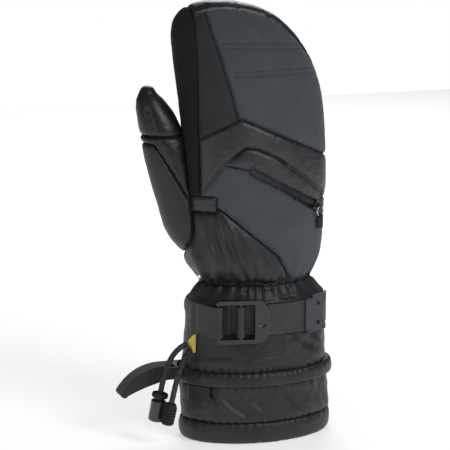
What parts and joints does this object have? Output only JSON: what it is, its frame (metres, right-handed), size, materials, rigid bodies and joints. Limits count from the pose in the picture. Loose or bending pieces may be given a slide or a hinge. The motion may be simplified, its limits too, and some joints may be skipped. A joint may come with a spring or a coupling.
{
  "type": "ski mitten",
  "caption": "Padded right-hand ski mitten with a separate thumb, zipped back pocket, gathered wrist with a buckled strap, and a long gauntlet closed by a drawcord with a sprung cord lock.",
  "frame": {"origin": "centre of the cuff opening on the plane of the hem, where the mitten stands", "axes": "+Z from the hem to the fingertips, back of the hand to -Y, thumb to -X, palm to +Y"},
  "size_m": [0.1788, 0.0901, 0.35],
  "materials": {
    "softshell": "matt woven softshell",
    "suede": "brushed synthetic suede",
    "leather": "grained goatskin, semi-matt",
    "nylon": "plain-weave nylon, slight sheen",
    "piping": "folded nylon tape",
    "membrane": "thin laminated film",
    "padding": "polyester wadding",
    "pile": "brushed pile",
    "zip_coil": "moulded nylon coil",
    "zip_tape": "woven tape",
    "elastic": "knitted elastic",
    "webbing": "ribbed nylon webbing",
    "moulded_plastic": "moulded acetal, satin gloss",
    "dark_metal": "black enamel",
    "bright_metal": "nickel plate",
    "soft_rubber": "matt moulded rubber",
    "yellow_tab": "moulded soft vinyl",
    "cord": "braided elastic cord"
  },
  "bodies": {
    "mitten": {"back_insulation": "padding", "back_panel": "softshell", "cord_end": "soft_rubber", "cord_tab": "yellow_tab", "crotch_patch": "leather", "cuff_back_insulation": "padding", "cuff_drawcord": "cord", "cuff_lining": "pile", "cuff_palm_insulation": "padding", "end_leg": "cord", "fold_band": "nylon", "gauntlet": "nylon", "hand_lining": "pile", "hem_band": "nylon", "index_panel": "suede", "knuckle_band": "leather", "knuckle_piping": "piping", "lock_leg": "cord", "neck_insulation": "padding", "palm_insulation": "padding", "palm_leather": "leather", "pocket_bag": "membrane", "pocket_panel": "softshell", "pull_anchor": "webbing", "side_strip": "suede", "strap": "webbing", "strap_anchor": "webbing", "strap_patch": "softshell", "thumb_back_insulation": "padding", "thumb_cap": "leather", "thumb_gusset": "nylon", "thumb_leather": "leather", "thumb_palm_insulation": "padding", "waterproof_insert": "membrane", "webbing_tab": "webbing", "wrist_elastic": "elastic", "wrist_nylon": "nylon", "zip_chain": "zip_coil", "zip_facing": "leather", "zip_tape": "zip_tape"},
    "zip_slider": {"zip_slider": "dark_metal"},
    "zip_puller": {"puller_ring": "bright_metal", "puller_tab": "soft_rubber"},
    "buckle": {"buckle": "moulded_plastic", "strap_loop": "webbing"},
    "strap_tail": {"strap_tail": "webbing", "strap_end": "moulded_plastic"},
    "cord_lock": {"lock_barrel": "moulded_plastic", "lock_spring": "bright_metal"},
    "lock_plunger": {"lock_plunger": "soft_rubber"},
    "soft_pull": {"soft_pull": "soft_rubber"}
  },
  "joints": [
    {"name": "zip_slide", "type": "hinge", "parent": "mitten", "child": "zip_slider", "pos_m": [0.00254, 0.0653, 0.2112], "axis": [0.4776, 0, 0.8786], "range_deg": [-37.45, 0]},
    {"name": "puller_swing", "type": "hinge", "parent": "zip_slider", "child": "zip_puller", "pos_m": [0.04648, -0.02466, 0.18732], "axis": [0.8985, 0.4389, 0], "range_deg": [-110, 0]},
    {"name": "buckle_lift", "type": "hinge", "parent": "mitten", "child": "buckle", "pos_m": [-0.04325, -0.03501, 0.102], "axis": [0, 0, 1], "range_deg": [-40, 0]},
    {"name": "strap_pull", "type": "hinge", "parent": "mitten", "child": "strap_tail", "pos_m": [0, 0.05708, 0], "axis": [0, 0, 1], "range_deg": [0, 6]},
    {"name": "lock_slide", "type": "slide", "parent": "mitten", "child": "cord_lock", "axis": [0.1712, -0.0428, 0.9843], "range_m": [0, 0.008]},
    {"name": "plunger_press", "type": "slide", "parent": "cord_lock", "child": "lock_plunger", "axis": [-0.1712, 0.0428, -0.9843], "range_m": [0, 0.0025], "stiffness_N_per_m": 600, "springref_m": -0.001, "deforming": ["lock_spring"]},
    {"name": "pull_flex", "type": "hinge", "parent": "mitten", "child": "soft_pull", "pos_m": [-0.0736, 0.0105, 0.05325], "axis": [0, 1, 0], "range_deg": [-20, 35]}
  ]
}
